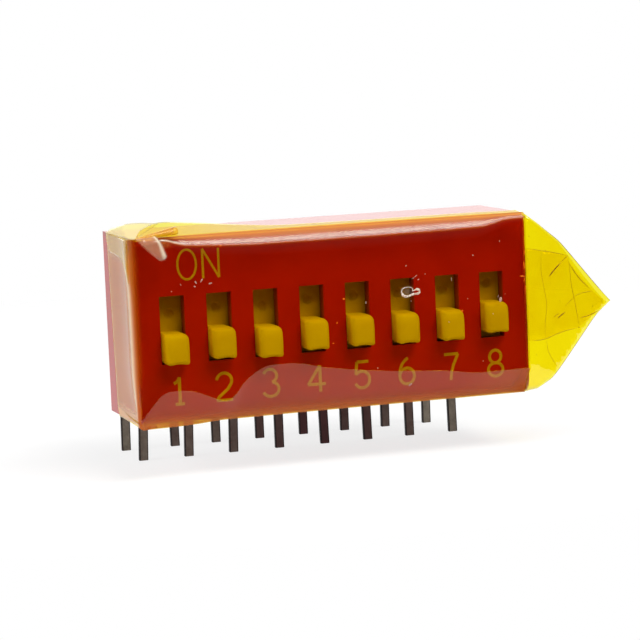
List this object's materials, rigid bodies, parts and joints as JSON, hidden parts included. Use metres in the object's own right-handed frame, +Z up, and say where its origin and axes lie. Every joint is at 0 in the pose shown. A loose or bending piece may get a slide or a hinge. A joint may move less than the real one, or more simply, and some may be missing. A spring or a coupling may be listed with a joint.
{
  "type": "right-angle dip switch",
  "caption": "Right-angle DIP slide switch: a red box with a row of yellow sliders in slots, two rows of bent pins behind, and clear yellow sealing tape over its front.",
  "frame": {"origin": "centre of the two rows of pins, on the circuit board's top face, which is level with the body's underside", "axes": "+X along the row of switches to the right as the sliders are seen, the sliders face -Y, +Z up away from the board"},
  "size_m": [0.0267, 0.0118, 0.0134],
  "materials": {
    "housing_plastic": "moulded satin thermoplastic, red",
    "base_plastic": "moulded satin thermoplastic, dark red",
    "resin": "poured epoxy resin",
    "clear_tape": "glossy clear amber-yellow polyimide tape",
    "slider_plastic": "moulded smooth plastic, yellow",
    "contact_brass": "gold-plated spring bronze",
    "terminal_metal": "tin-plated brass, dulled"
  },
  "bodies": {
    "switch_body": {"housing": "housing_plastic", "base": "base_plastic", "sealant": "resin", "tape": "clear_tape", "lower_terminal_1": "terminal_metal", "lower_terminal_2": "terminal_metal", "lower_terminal_3": "terminal_metal", "lower_terminal_4": "terminal_metal", "lower_terminal_5": "terminal_metal", "lower_terminal_6": "terminal_metal", "lower_terminal_7": "terminal_metal", "lower_terminal_8": "terminal_metal", "upper_terminal_1": "terminal_metal", "upper_terminal_2": "terminal_metal", "upper_terminal_3": "terminal_metal", "upper_terminal_4": "terminal_metal", "upper_terminal_5": "terminal_metal", "upper_terminal_6": "terminal_metal", "upper_terminal_7": "terminal_metal", "upper_terminal_8": "terminal_metal"},
    "switch_1": {"slider_1": "slider_plastic", "contact_1": "contact_brass"},
    "switch_2": {"slider_2": "slider_plastic", "contact_2": "contact_brass"},
    "switch_3": {"slider_3": "slider_plastic", "contact_3": "contact_brass"},
    "switch_4": {"slider_4": "slider_plastic", "contact_4": "contact_brass"},
    "switch_5": {"slider_5": "slider_plastic", "contact_5": "contact_brass"},
    "switch_6": {"slider_6": "slider_plastic", "contact_6": "contact_brass"},
    "switch_7": {"slider_7": "slider_plastic", "contact_7": "contact_brass"},
    "switch_8": {"slider_8": "slider_plastic", "contact_8": "contact_brass"}
  },
  "joints": [
    {"name": "switch_1_slide", "type": "slide", "parent": "switch_body", "child": "switch_1", "axis": [0, 0, 1], "range_m": [0, 0.0019]},
    {"name": "switch_2_slide", "type": "slide", "parent": "switch_body", "child": "switch_2", "axis": [0, 0, 1], "range_m": [0, 0.00175]},
    {"name": "switch_3_slide", "type": "slide", "parent": "switch_body", "child": "switch_3", "axis": [0, 0, 1], "range_m": [0, 0.0019]},
    {"name": "switch_4_slide", "type": "slide", "parent": "switch_body", "child": "switch_4", "axis": [0, 0, 1], "range_m": [0, 0.0017]},
    {"name": "switch_5_slide", "type": "slide", "parent": "switch_body", "child": "switch_5", "axis": [0, 0, 1], "range_m": [0, 0.0017]},
    {"name": "switch_6_slide", "type": "slide", "parent": "switch_body", "child": "switch_6", "axis": [0, 0, 1], "range_m": [0, 0.00176]},
    {"name": "switch_7_slide", "type": "slide", "parent": "switch_body", "child": "switch_7", "axis": [0, 0, 1], "range_m": [0, 0.0018]},
    {"name": "switch_8_slide", "type": "slide", "parent": "switch_body", "child": "switch_8", "axis": [0, 0, 1], "range_m": [0, 0.00158]}
  ]
}
